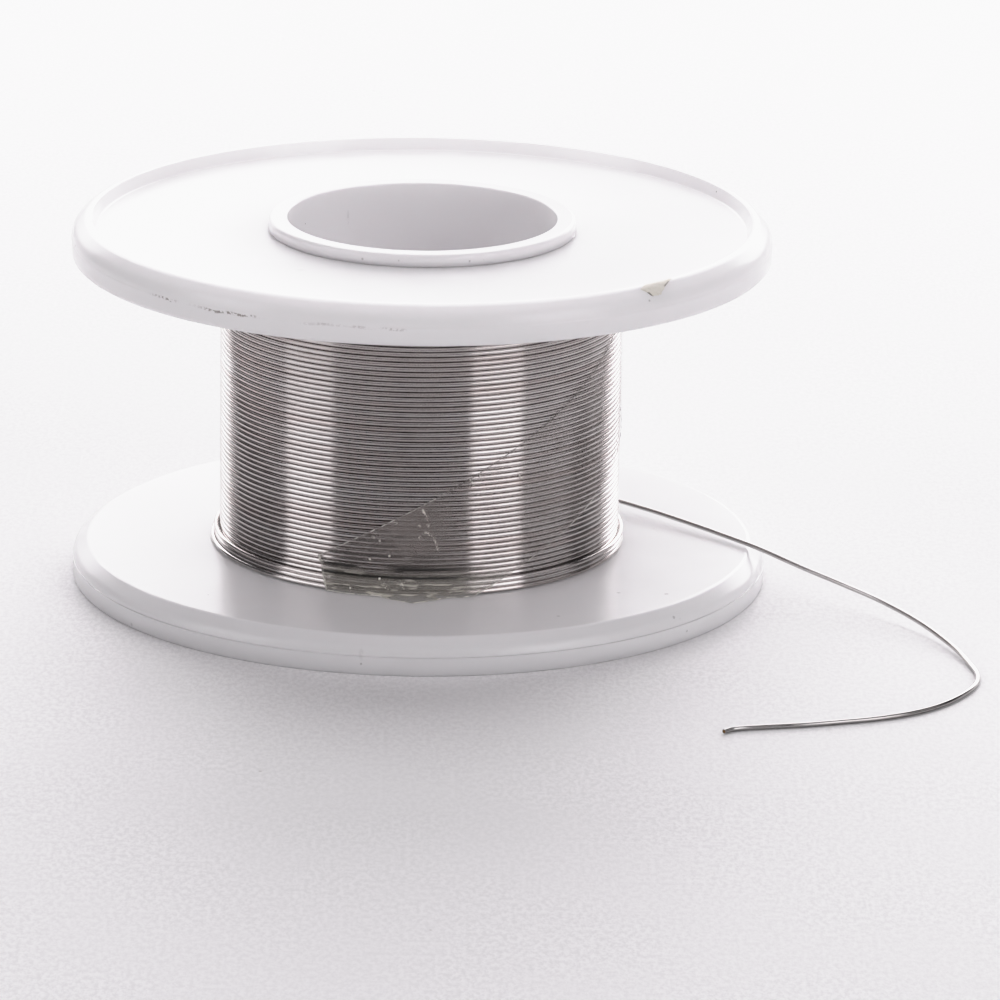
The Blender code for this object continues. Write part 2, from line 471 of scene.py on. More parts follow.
def handling_mark(nodes, place, grubby, colour, mark):
    """A small grubby spot at one place, worn away in patches."""
    angle, radius, height, size, stretch, darkness = mark
    apart = nodes.add("VectorMath", {"operation": "SUBTRACT"})
    nodes.feed(apart.inputs[0], place)
    apart.inputs[1].default_value = around(radius, angle, height)
    length = nodes.add("VectorMath", {"operation": "LENGTH"})
    nodes.feed(length.inputs[0], nodes.scaled(apart.outputs[0], (1, 1, 1 / stretch)))
    near = nodes.remap(length.outputs["Value"], size * 0.3 * MM, size * MM, darkness, 0.0)
    worn = nodes.product(near, nodes.remap(grubby, 0.30, 0.50))
    return nodes.blend(worn, colour, (0.20, 0.18, 0.17, 1))


def white_plastic(name, depth, marks=(), dirt=None):
    """Glossy moulded white plastic with faint flow lines, dust and handling marks.

    depth is how far light travels in it, in millimetres. dirt adds its own soiling to the colour.
    """
    material, nodes, shader = new_material(
        name, IOR=1.49, Specular_IOR_Level=0.5,
        Subsurface_Weight=0.6, Subsurface_Radius=(1.0, 0.95, 0.95), Subsurface_Scale=depth * MM)
    place = nodes.add("TexCoord").outputs["Object"]

    cloud = nodes.noise(place, 60, detail=3.0)
    colour = nodes.blend(cloud, (0.96, 0.94, 0.955, 1), (0.935, 0.915, 0.93, 1))
    dust = nodes.specks(place, 420, 0.035, 0.10)
    colour = nodes.blend(dust, colour, (0.30, 0.28, 0.27, 1))
    grubby = nodes.noise(place, 3500)
    for mark in marks:
        colour = handling_mark(nodes, place, grubby, colour, mark)
    if dirt:
        colour = dirt(nodes, place, colour)
    nodes.feed(shader["Base Color"], colour)

    flow = nodes.noise(place, (90, 90, 600))
    handling_wear_and_painted_end_shade = nodes.noise(place, 260, detail=4.0, roughness=0.6)
    gloss = nodes.product(flow, handling_wear_and_painted_end_shade)
    nodes.feed(shader["Roughness"], nodes.remap(gloss, 0.12, 0.42, 0.20, 0.27))

    orange_peel = nodes.noise(place, 900, detail=1.0)
    normal = nodes.bump(flow, 0.008, 0.1 * MM)
    normal = nodes.bump(orange_peel, 0.02, 0.1 * MM, normal)
    nodes.feed(shader["Normal"], normal)
    return material


def polar(nodes, place):
    """Angle in radians from the front, and the height in metres."""
    parts = nodes.add("SeparateXYZ", Vector=place)
    back = nodes.math("MULTIPLY", parts.outputs["Y"], -1.0)
    return nodes.math("ARCTAN2", parts.outputs["X"], back), parts.outputs["Z"]


def upper_dirt(nodes, place, colour):
    """Dirt caught just above the upper rim's parting line, on its front left and fainter in front."""
    angle, height = polar(nodes, place)
    line = UPPER_FACE + FLANGE_THICKNESS * 0.5
    left = nodes.band(angle, math.radians(-47), math.radians(-24), math.radians(3))
    front = nodes.band(angle, math.radians(-18), math.radians(-2), math.radians(3))
    along = nodes.math("MAXIMUM", left, nodes.product(front, 0.45))
    wander = nodes.product(nodes.noise(place, (420, 420, 0), detail=3.0), 0.6 * MM)
    level = nodes.math("ADD", height, wander)
    across = nodes.band(level, (line + 0.16) * MM, (line + 0.36) * MM, 0.06 * MM)
    crowd = nodes.remap(nodes.noise(place, (260, 260, 0)), 0.36, 0.56)
    grit = nodes.remap(nodes.noise(place, 4200), 0.42, 0.56)
    dirt_and_painted_shadow = nodes.product(along, across, crowd, grit, 0.85)
    return nodes.blend(dirt_and_painted_shadow, colour, (0.26, 0.23, 0.21, 1))


def solder_metal(name, bright, dull, drawn_shine=0.9, end_tone=1.0):
    """Drawn solder wire: soft bright metal with drawing lines along it and faint warm oxide.

    drawn_shine stretches its reflections across a winding. end_tone darkens the wire's last
    stretch, which starts 52 mm along it, as painted shade.
    """
    material, nodes, shader = new_material(
        name, Metallic=1.0, Anisotropic=drawn_shine, Anisotropic_Rotation=0.25)
    place = nodes.add("TexCoord").outputs["Object"]
    along = nodes.attribute("along")
    core = nodes.attribute("core")

    run = nodes.add("CombineXYZ", X=along).outputs[0]
    oxide = nodes.noise(run, (28, 1, 1), detail=3.0)
    colour = nodes.blend(nodes.remap(oxide, 0.40, 0.66), bright, dull)
    stain = nodes.noise(place, (500, 500, 2200), detail=3.0)
    colour = nodes.blend(nodes.remap(stain, 0.50, 0.75, 0.0, 0.6), colour, (0.46, 0.425, 0.41, 1))
    if end_tone < 1.0:
        # Painted shade: the wire's last stretch darkens towards its cut end.
        handling_wear_and_painted_end_shade = nodes.remap(along, 52 * MM, 64 * MM, 0.0, 1.0 - end_tone)
        colour = nodes.blend(handling_wear_and_painted_end_shade, colour, (0.07, 0.06, 0.055, 1))
    colour = nodes.blend(nodes.remap(core, 0.3, 0.6), colour, (0.16, 0.09, 0.04, 1))
    nodes.feed(shader["Base Color"], colour)

    rub = nodes.noise(place, (900, 900, 3000), detail=3.0, roughness=0.6)
    nodes.feed(shader["Roughness"], nodes.remap(rub, 0.30, 0.70, 0.15, 0.24))
    round_spool = nodes.add("Tangent", {"direction_type": "RADIAL", "axis": "Z"})
    nodes.feed(shader["Tangent"], round_spool)
    drawn = nodes.noise(place, (500, 500, 14000))
    nodes.feed(shader["Normal"], nodes.bump(drawn, 0.03, 0.02 * MM))
    return material


def winding_gap(nodes, angle, height):
    """1 in the gaps between the outer turns, and 0 on their crests."""
    first = (WINDING_LOW + WIRE_RADIUS) * MM
    climbed = nodes.math("DIVIDE", nodes.math("SUBTRACT", height, first), WIRE_PITCH * MM)
    turned = nodes.math("SUBTRACT", angle, math.radians(WINDING_START))
    turned = nodes.math("DIVIDE", turned, math.tau)
    phase = nodes.math("MULTIPLY", nodes.math("SUBTRACT", climbed, turned), math.tau)
    return nodes.remap(nodes.math("COSINE", phase), -0.9, 0.5, 1.0, 0.0)


def painted_gap_shade_mask(nodes, place, angle, height, slack, thinning):
    """Painted shade under the film: dark dashes in the gaps between the turns, and painted shadow in
    the two grooves below.
    """
    on_winding = nodes.remap(height, 4.55 * MM, 4.75 * MM)
    dashes = nodes.remap(nodes.noise(place, (330, 330, 1600)), 0.49, 0.57)
    gaps = nodes.product(dashes, winding_gap(nodes, angle, height), slack, on_winding)
    broken = nodes.remap(nodes.noise(place, (190, 190, 400)), 0.42, 0.52)
    seam = nodes.product(nodes.band(height, SEAM_LOW * MM, SEAM_HIGH * MM, 0.06 * MM), broken)
    groove = nodes.band(height, GROOVE_LOW * MM, GROOVE_HIGH * MM, 0.05 * MM)
    grooves = nodes.product(nodes.math("MAXIMUM", seam, groove), thinning)
    return nodes.math("MAXIMUM", gaps, grooves)


def tape_film(name):
    """Clear tape with a hazy adhesive, white in its creases, with painted glints in its fold, painted
    shade in the gaps and grooves under it, and a painted highlight and shadow along its edge.
    """
    material, nodes, shader = new_material(name, IOR=1.5)
    place = nodes.add("TexCoord").outputs["Object"]
    crease = nodes.attribute("crease")
    fold = nodes.attribute("fold")
    slack = nodes.attribute("slack")
    angle, height = polar(nodes, place)
    high_up = nodes.remap(height, 10.5 * MM, 12.0 * MM)
    flap = nodes.remap(height, 3.02 * MM, 3.20 * MM, 1.0, 0.0)
    thinning = nodes.remap(angle, math.radians(6), math.radians(20), 1.0, 0.25)
    folded = nodes.product(fold, thinning)

    glitter = nodes.remap(nodes.noise(place, 7000, detail=1.0), 0.495, 0.56)
    frost = nodes.product(nodes.specks(place, 2600, 0.32, 0.05), slack)
    flecks = nodes.math("MAXIMUM", nodes.product(crease, glitter), frost)
    glints = nodes.remap(nodes.noise(place, (420, 420, 3800)), 0.52, 0.62)
    glints = nodes.product(glints, folded)
    # Painted shade: near-black dashes in the gaps between the turns, and painted shadow in the grooves
    # under the film.
    painted_gap_shade = painted_gap_shade_mask(nodes, place, angle, height, slack, thinning)
    torn = nodes.remap(nodes.noise(place, 1500), 0.38, 0.60, 0.25, 1.0)
    edge = nodes.product(nodes.attribute("edge"), torn)
    haze = nodes.noise(place, 240, detail=1.5)
    from_haze = nodes.add("VectorMath", {"operation": "DISTANCE"})
    nodes.feed(from_haze.inputs[0], place)
    from_haze.inputs[1].default_value = around(WINDING_RADIUS, HAZE_ANGLE, HAZE_HEIGHT)
    dull = nodes.remap(from_haze.outputs["Value"], 1.6 * MM, 4.0 * MM, 1.0, 0.0)

    cover = nodes.remap(haze, 0.30, 0.70, 0.04, 0.10)
    layers = (
        (dull, 0.22), (folded, 0.15), (flap, 0.12), (painted_gap_shade, 0.62), (glints, 0.25), (flecks, 0.65),
        (edge, 0.60))
    for layer, opacity in layers:
        cover = nodes.math("ADD", cover, nodes.product(layer, opacity))
    nodes.feed(shader["Alpha"], nodes.math("MINIMUM", cover, 0.95))

    # The film's edge is painted: a painted highlight low down, and painted shadow from 10.5 mm up.
    edge_highlight_and_shadow = nodes.blend(high_up, (0.90, 0.88, 0.82, 1), (0.10, 0.09, 0.08, 1))
    colour = nodes.blend(fold, (0.36, 0.32, 0.30, 1), (0.44, 0.42, 0.37, 1))
    colour = nodes.blend(flap, colour, (0.42, 0.41, 0.37, 1))
    colour = nodes.blend(glints, colour, (0.85, 0.82, 0.73, 1))
    colour = nodes.blend(painted_gap_shade, colour, (0.03, 0.028, 0.025, 1))
    colour = nodes.blend(edge, colour, edge_highlight_and_shadow)
    colour = nodes.blend(flecks, colour, (0.90, 0.88, 0.80, 1))
    nodes.feed(shader["Base Color"], colour)
    nodes.feed(shader["Roughness"], nodes.remap(haze, 0.3, 0.7, 0.10, 0.22))
    normal = nodes.bump(haze, 0.10, 0.3 * MM)
    normal = nodes.bump(flecks, 0.3, 0.06 * MM, normal)
    nodes.feed(shader["Normal"], normal)
    return material


def scar_plastic(name):
    """The yellowed, torn plastic of the gate scar, with painted shadow at two of its edges."""
    material, nodes, shader = new_material(name, Roughness=0.5)
    place = nodes.add("TexCoord").outputs["Object"]
    mottle = nodes.noise(place, 2500, detail=3.0)
    colour = nodes.blend(mottle, (0.86, 0.83, 0.77, 1), (0.78, 0.74, 0.65, 1))
    # Painted shadow at two of the scar's edges, broken up by the mottle.
    dirt_and_painted_shadow = nodes.product(nodes.attribute("painted_shadow"), nodes.remap(mottle, 0.25, 0.45))
    colour = nodes.blend(dirt_and_painted_shadow, colour, (0.24, 0.20, 0.18, 1))
    nodes.feed(shader["Base Color"], colour)
    nodes.feed(shader["Normal"], nodes.bump(mottle, 0.6, 0.1 * MM))
    return material


def pale_floor(name):
    """White laminate with a very fine grain."""
    material, nodes, shader = new_material(name, Specular_IOR_Level=0.3)
    place = nodes.add("TexCoord").outputs["Object"]
    grain = nodes.noise(place, (2800, 1500, 1500), detail=3.0, roughness=0.7)
    patch = nodes.noise(place, 60)
    speckle = nodes.remap(grain, 0.36, 0.64)
    colour = nodes.blend(speckle, (0.915, 0.91, 0.915, 1), (0.81, 0.805, 0.81, 1))
    soil = nodes.specks(place, 170, 0.030, 0.25)
    colour = nodes.blend(nodes.product(soil, 0.5), colour, (0.35, 0.33, 0.31, 1))
    colour = nodes.blend(nodes.remap(patch, 0.4, 0.6, 0.0, 0.4), colour, (0.87, 0.865, 0.87, 1))
    nodes.feed(shader["Base Color"], colour)
    nodes.feed(shader["Roughness"], nodes.remap(grain, 0.3, 0.7, 0.45, 0.6))
    nodes.feed(shader["Normal"], nodes.bump(grain, 0.25, 0.1 * MM))
    return material


# Small handling marks: angle in degrees, then radius, height and size in millimetres, upright
# stretch, and darkness from 0 to 1.
UPPER_MARKS = [
    (-115.0, 23.6, RIM_TOP - WEB_RECESS, 1.0, 1.0, 0.10),
    (-128.0, 13.9, RIM_TOP - WEB_RECESS, 0.30, 1.0, 0.55),
    (-35.0, 16.5, RIM_TOP - WEB_RECESS, 0.6, 1.0, 0.12),
    (-78.8, RIM_RADIUS, 28.2, 0.16, 1.0, 0.7),
    (39.1, RIM_RADIUS - 0.15, 28.6, 0.14, 1.0, 0.4),
]
LOWER_MARKS = [
    (27.3, 23.9, LOWER_FACE, 0.20, 1.0, 0.3),
    (46.5, 21.8, LOWER_FACE, 0.24, 1.0, 0.35),
    (52.2, 24.8, LOWER_FACE, 0.26, 1.0, 0.5),
    (46.5, 27.7, 2.21, 0.20, 1.0, 0.6),
    (47.7, 27.88, 1.98, 0.14, 1.0, 0.5),
    (49.1, RIM_RADIUS, 0.87, 0.16, 1.0, 0.5),
    (-49.7, RIM_RADIUS, 2.0, 0.14, 1.0, 0.4),
    (-53.8, RIM_RADIUS, 0.3, 0.20, 1.0, 0.3),
    (-9.0, RIM_RADIUS, 2.0, 0.30, 4.0, 0.10),
    (-9.0, RIM_RADIUS, 0.9, 0.14, 1.0, 0.45),
]
CORE_MARKS = [
    (-22.3, COLLAR_FOOT, 28.95, 0.14, 1.0, 0.4),
    (-8.5, COLLAR_FOOT, 29.05, 0.11, 1.0, 0.3),
    (17.7, COLLAR_FOOT, 28.95, 0.13, 1.0, 0.4),
    (23.2, COLLAR_FOOT, 28.95, 0.10, 1.0, 0.3),
    (-146.0, BORE_RADIUS, 27.0, 0.16, 6.0, 0.14),
]


# ---------------------------------------------------------------- moulded pieces

def flange_outline(looks_up):
    """Outline of a flange from its inner face, at height 0, out to its outer face.

    On the upper flange the slope starts from the crest of the raised rim, and on the lower one
    from the flat web.
    """
    web = FLANGE_THICKNESS - WEB_RECESS
    hole = NECK_RADIUS + SEAT_GAP
    rim_inside = RIM_RADIUS - RIM_WIDTH
    rim_edge = rim_inside + RIM_DRAFT
    side = RIM_RADIUS - PARTING_RIDGE
    middle = FLANGE_THICKNESS / 2
    parting = [
        (side, middle - PARTING_HALF_WIDTH, 0.0),
        (RIM_RADIUS, middle, 0.0),
        (side, middle + PARTING_HALF_WIDTH, 0.0),
    ]
    if looks_up:
        crest = FLANGE_THICKNESS + CREST_RISE
        inner_edge = [(side, 0.0, UPPER_WINDING_EDGE_ROUND)]
        outer_edge = [
            (side, crest - SLOPE_DROP, UPPER_SHOULDER_ROUND),
            (UPPER_BEND_RADIUS, crest, UPPER_BEND_ROUND),
            (rim_edge, crest, CREST_INNER_ROUND),
        ]
    else:
        inner_edge = [
            (LOWER_BEND_RADIUS, 0.0, LOWER_BEND_ROUND),
            (side, SLOPE_DROP, LOWER_SHOULDER_ROUND),
        ]
        outer_edge = [
            (side, FLANGE_THICKNESS, FOOT_OUTER_ROUND),
            (rim_edge, FLANGE_THICKNESS, FOOT_INNER_ROUND),
        ]
    corners = [(hole, 0.0, HOLE_EDGE_ROUND)] + inner_edge + parting + outer_edge
    corners += [(rim_inside, web, WEB_CORNER_ROUND), (hole, web, 0.0)]
    return rounded(corners)


def make_flange(name, node, inner_face, looks_up, material):
    sign = 1 if looks_up else -1
    outline = [(radius, inner_face + sign * height) for radius, height in flange_outline(looks_up)]
    flange = lathe(name, outline, material)
    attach(flange, "spool")
    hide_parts(node)
    return flange


def make_core(material):
    """A tube with a shoulder for each flange, and at each end a collar that laps over its web."""
    upper_web = UPPER_FACE + FLANGE_THICKNESS - WEB_RECESS + SEAT_GAP
    lower_web = LOWER_FACE - FLANGE_THICKNESS + WEB_RECESS - SEAT_GAP
    corners = [
        (BORE_RADIUS, CORE_TOP, BORE_EDGE_ROUND),
        (COLLAR_TOP, CORE_TOP, COLLAR_ROUND),
        (COLLAR_FOOT, upper_web, 0.0),
        (NECK_RADIUS, upper_web, 0.0),
        (NECK_RADIUS, UPPER_FACE - GAP, 0.0),
        (BARREL_RADIUS, UPPER_FACE - GAP, 0.0),
        (BARREL_RADIUS, LOWER_FACE + GAP, 0.0),
        (NECK_RADIUS, LOWER_FACE + GAP, 0.0),
        (NECK_RADIUS, lower_web, 0.0),
        (COLLAR_FOOT, lower_web, 0.0),
        (COLLAR_TOP, CORE_BOTTOM, COLLAR_ROUND),
        (BORE_RADIUS, CORE_BOTTOM, BORE_EDGE_ROUND),
    ]
    core = lathe("core_tube_shell", rounded(corners), material)
    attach(core, "spool")
    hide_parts("core_tube")
    return core


# The scar's two sides: distance down the rim's slope from its bend, in millimetres, and angle.
SCAR_LEFT = [(-0.4, 40.4), (0.25, 38.4), (0.60, 39.3), (1.08, 39.9)]
SCAR_RIGHT = [(-0.4, 47.3), (0.1, 45.6), (0.50, 43.6), (1.08, 41.8)]
SCAR_LIFT = 0.045
SCAR_SINK = 0.006
SCAR_EDGE_SHARE = 0.09


def read_line(line, along):
    """The second number of a bent line where its first one is along."""
    for start, end in zip(line, line[1:]):
        if along <= end[0]:
            return start[1] + (end[1] - start[1]) * (along - start[0]) / (end[0] - start[0])
    return line[-1][1]


def rim_surface(length, lift):
    """Radius and height on the upper rim, a length down its outer slope from the crest's bend."""
    slope = math.atan2(SLOPE_DROP, RIM_RADIUS - PARTING_RIDGE - UPPER_BEND_RADIUS)
    half_bend = UPPER_BEND_ROUND * math.tan(slope / 2)
    turned = slope * min(1.0, max(0.0, (length + half_bend) / (2 * half_bend)))
    before = min(0.0, length + half_bend)
    beyond = max(0.0, length - half_bend)
    radius = UPPER_BEND_RADIUS - half_bend + UPPER_BEND_ROUND * math.sin(turned)
    radius += before + beyond * math.cos(slope) + lift * math.sin(turned)
    height = RIM_TOP + CREST_RISE - UPPER_BEND_ROUND * (1 - math.cos(turned))
    height += lift * math.cos(turned) - beyond * math.sin(slope)
    return radius, height


def scar_painted_shadow(across, length):
    """Painted shadow along the scar's low left edge and in its high right corner, from 0 to 1."""
    low_left = smoothstep((0.16 - across) / 0.07) * smoothstep((length - 0.60) / 0.12)
    high_right = smoothstep((across - 0.86) / 0.06) * smoothstep(length / 0.1)
    high_right *= smoothstep((0.5 - length) / 0.1)
    return max(low_left, 0.75 * high_right)


def make_gate_scar(material):
    """A torn patch of yellowed plastic, aslant over the upper rim's front right edge."""
    columns = 36
    rows = 26
    first = SCAR_LEFT[0][0]
    last = SCAR_LEFT[-1][0]
    shape = bmesh.new()
    painted_shadow_layer = shape.verts.layers.float.new("painted_shadow")
    grid = []
    for row in range(rows + 1):
        down = row / rows
        length = first + (last - first) * down
        left = read_line(SCAR_LEFT, length) + 0.25 * ripple(length * 4, 1.7)
        right = read_line(SCAR_RIGHT, length) + 0.30 * ripple(length * 4, 8.2)
        line = []
        for column in range(columns + 1):
            across = column / columns
            angle = left + (right - left) * across
            ragged = length + 0.07 * ripple(across * 7, 3.1) * (0.3 + down)
            edge = min(across, 1 - across, down, 1 - down)
            torn = 0.6 + 0.4 * ripple(across * 6, down * 5)
            lift = SCAR_LIFT * smoothstep(edge / SCAR_EDGE_SHARE) * torn - SCAR_SINK
            radius, height = rim_surface(ragged, lift)
            vertex = shape.verts.new(around(radius, angle, height))
            # Painted shadow along the scar's low left edge and in its high right corner.
            vertex[painted_shadow_layer] = scar_painted_shadow(across, length)
            line.append(vertex)
        grid.append(line)
    skin_grid(shape, grid)
    scar = add_object("gate_scar", finish_mesh("gate_scar", shape), material)
    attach(scar, "spool")
    return scar


# ---------------------------------------------------------------- wound wire

def make_outer_turns(material):
    """The outer layer: one wire in a close helix, slightly uneven."""
    steps = 120
    low = WINDING_LOW + WIRE_RADIUS
    high = WINDING_HIGH - WIRE_RADIUS
    turns = (high - low) / WIRE_PITCH
    path = []
    for step in range(int(turns * steps) + 1):
        turn = step / steps
        angle = 360.0 * turn + WINDING_START
        x = math.cos(math.radians(angle))
        y = math.sin(math.radians(angle))
        height = low + WIRE_PITCH * turn + WINDING_HEIGHT_SWAY * ripple(x * 1.3, y * 1.3, turn * 1.7)
        radius = OUTER_CENTRE + WINDING_RADIUS_SWAY * ripple(x * 1.6 + 7, y * 1.6, turn * 1.9)
        radius -= WINDING_RADIUS_DROP
        path.append(around(radius, angle, max(min(height, high), low)))
    layer = wire("outer_turns", path, material)
    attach(layer, "spool")
    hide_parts("outer_layer")
    return layer


def make_inner_turns(material):
    """The layers beneath, whose ridges show in the gaps between the outer turns."""
    inside = BARREL_RADIUS + GAP
    crest_centre = OUTER_CENTRE - LAYER_STEP
    low = WINDING_LOW + WIRE_RADIUS * 1.5
    count = int((WINDING_HIGH - WINDING_LOW - WIRE_RADIUS) / WIRE_PITCH) - 1
    outline = [(crest_centre, WINDING_LOW)]
    for ridge in range(count):
        middle = low + WIRE_PITCH * (ridge + 0.5)
        for turn in (-60, -20, 20, 60):
            outwards = WIRE_RADIUS * math.cos(math.radians(turn))
            upwards = WIRE_RADIUS * math.sin(math.radians(turn))
            outline.append((crest_centre + outwards, middle + upwards))
    outline += [(crest_centre, WINDING_HIGH), (inside, WINDING_HIGH), (inside, WINDING_LOW)]
    layers = lathe("inner_turns", outline, material, steps=96)
    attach(layers, "spool")
    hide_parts("inner_layers")
    return layers


def loose_place(turns):
    """Where the loose wire is, a number of turns after it leaves the winding, in millimetres.

    It goes clockwise, seen from above, and climbs one wire each time it passes the back.
    """
    angle = TAIL_LEAVES_AT + 360.0 * (LOOSE_TURNS - turns)
    first = LOOSE_LOW + WIRE_RADIUS * 0.6
    climbed = sum(smoothstep((turns - climb) / LOOSE_CLIMB_TURNS) for climb in LOOSE_CLIMBS_AT)
    height = first + LOOSE_CLIMB * climbed
    to_tail = TAIL_ROUTE[0][2] / MM - first - LOOSE_CLIMB * len(LOOSE_CLIMBS_AT)
    height += to_tail * smoothstep((turns - LOOSE_TURNS + LOOSE_LIFT_TURNS) / LOOSE_LIFT_TURNS)

    sway = math.sin(math.radians(angle))
    level = (height - first) / LOOSE_CLIMB
    slack = max(0.0, 1.0 - level)
    radius = LOOSE_CENTRE + LOOSE_SWELL * slack - (LOOSE_SWAY + LOOSE_SLACK_SWAY * slack) * sway
    radius += LOOSE_UNEVENNESS * ripple(math.cos(math.radians(angle)) * 2, sway * 2, turns * 1.3)
    leaving = smoothstep((turns - LOOSE_TURNS + LOOSE_LEAVE_TURNS) / LOOSE_LEAVE_TURNS)
    tail_radius = math.hypot(TAIL_ROUTE[0][0], TAIL_ROUTE[0][1]) / MM
    radius += (tail_radius - radius) * leaving
    inner_share = smoothstep(turns / LOOSE_START_TURNS)
    radius = OUTER_CENTRE + (radius - OUTER_CENTRE) * inner_share
    return radius, angle, height


def make_loose_turns(material):
    """Three slack turns of the same wire on the winding's lower end."""
    steps = 150
    path = [around(*loose_place(step / steps)) for step in range(int(LOOSE_TURNS * steps) + 1)]
    turns = wire("loose_turns", path, material, sides=12)
    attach(turns, "spool")
    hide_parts("last_turns")
    return turns


def make_wire_tail(material):
    """The free tail, from the loose turns over the lower rim to its pinched, cut end on the table."""
    spacing = 0.25 * MM
    nipped_length = 1.0
    nipped_share = 0.12
    path = smooth_route(TAIL_ROUTE, spacing)
    length = sum((after - before).length for before, after in zip(path, path[1:]))
    squeeze = []
    travelled = 0.0
    for index, point in enumerate(path):
        if index:
            travelled += (point - path[index - 1]).length
        left = (length - travelled) / MM
        nip = smoothstep((nipped_length - left) / nipped_length)
        squeeze.append((1.0, 1.0 - nipped_share * nip))
    tail = wire("wire_tail_strand", path, material, sides=16, squeeze=squeeze)
    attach(tail, "free_end")
    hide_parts("wire_tail")
    return tail


# ---------------------------------------------------------------- clear tape

# The folded film's way down over the loose turns and out on the flange: radius and height.
FOLD_PATH = [
    (16.20, FOLD_DATUM),
    (16.26, 4.55),
    (16.42, 4.32),
    (16.60, 4.08),
    (16.66, 3.80),
    (16.70, 3.50),
    (16.74, 3.22),
    (16.84, 3.04),
    (17.05, 2.97),
    (17.50, 2.95),
    (18.00, 2.94),
    (18.50, 2.94),
    (19.20, 2.94),
]
FLANGE_CORNER = 7


def tape_top(angle):
    """Height of the tape's upper edge."""
    run = math.radians(angle - TAPE_START_ANGLE) * WINDING_RADIUS
    return TAPE_START_HEIGHT + TAPE_CLIMB * run


def tape_bottom(angle):
    """Height of the tape's lower edge, where it isn't folded on to the flange."""
    run = math.radians(angle - TAPE_FOLD_END_ANGLE) * WINDING_RADIUS
    return TAPE_FOLD_HEIGHT + TAPE_LOWER_CLIMB * run


def fold_point(down):
    """Radius and height a distance below the datum, over the loose turns and out on the flange."""
    if down <= 0:
        return FOLD_PATH[0][0], FOLD_DATUM - down
    for start, end in zip(FOLD_PATH, FOLD_PATH[1:]):
        step = math.dist(start, end)
        if down <= step:
            share = down / step
            return start[0] + (end[0] - start[0]) * share, start[1] + (end[1] - start[1]) * share
        down -= step
    return FOLD_PATH[-1]


def flap_limit(angle):
    """How far below the datum the film is torn off, above the flange."""
    above_flange = FOLD_PATH[:FLANGE_CORNER + 1]
    to_flange = sum(math.dist(start, end) for start, end in zip(above_flange, above_flange[1:]))
    nearness = max(0.0, 1.0 - abs(angle - FLAP_ANGLE) / FLAP_SPREAD)
    torn = 0.12 * ripple(angle * 0.5, 4.2) + 0.07 * ripple(angle * 1.7, 9.1)
    return to_flange + FLAP_MARGIN + FLAP_REACH * nearness + torn


# The creases: bent lines through angles, in degrees, and heights, in millimetres.
CREASES = [
    ((1.0, 9.9), (2.4, 9.1)),
    ((2.4, 8.7), (2.7, 8.6)),
    ((0.0, 8.6), (0.3, 8.6)),
    ((0.0, 7.7), (0.3, 7.7)),
    ((1.6, 8.1), (2.6, 8.0), (4.5, 7.4), (5.4, 6.6)),
    ((-6.6, 8.8), (-6.3, 8.8)),
    ((-12.9, 7.5), (-12.6, 7.5)),
    ((12.4, 12.9), (14.1, 12.3), (15.3, 11.8)),
    ((16.4, 12.7), (17.6, 12.4)),
    ((29.0, 12.3), (29.6, 12.0)),
    ((-29.0, 5.6), (-27.8, 5.0)),
    ((-26.6, 4.0), (-25.9, 3.3)),
    ((-9.5, 3.9), (-8.4, 3.5)),
    ((-4.5, 3.9), (-4.0, 3.6)),
]


def crease_at(angle, height):
    """How creased the film is at a point, from 0 to 1."""
    here = Vector((math.radians(angle) * WINDING_RADIUS, height))
    strength = 0.0
    for line in CREASES:
        for start, end in zip(line, line[1:]):
            first = Vector((math.radians(start[0]) * WINDING_RADIUS, start[1]))
            last = Vector((math.radians(end[0]) * WINDING_RADIUS, end[1]))
            span = last - first
            share = min(1.0, max(0.0, (here - first).dot(span) / span.length_squared))
            apart = (here - first - span * share).length
            strength = max(strength, 1.0 - smoothstep(apart / CREASE_WIDTH))
    return strength


def film_lift(angle, height, slack, creased):
    """How far the film stands off the surface under it, in millimetres."""
    on_winding = smoothstep((height - 4.3) / 0.6)
    turn = (height - WINDING_LOW - WIRE_RADIUS) / WIRE_PITCH - (angle - WINDING_START) / 360
    ridge = math.cos(math.tau * turn)
    lift = SLACK_LIFT * slack * (0.5 + ripple(angle * 0.22, height * 0.9, 2.0))
    lift += CREASE_LIFT * creased * (0.5 + ripple(angle * 2.0, height * 5.0))
    lift += RIDGE_LIFT * ridge * on_winding * (1 - slack)
    return lift


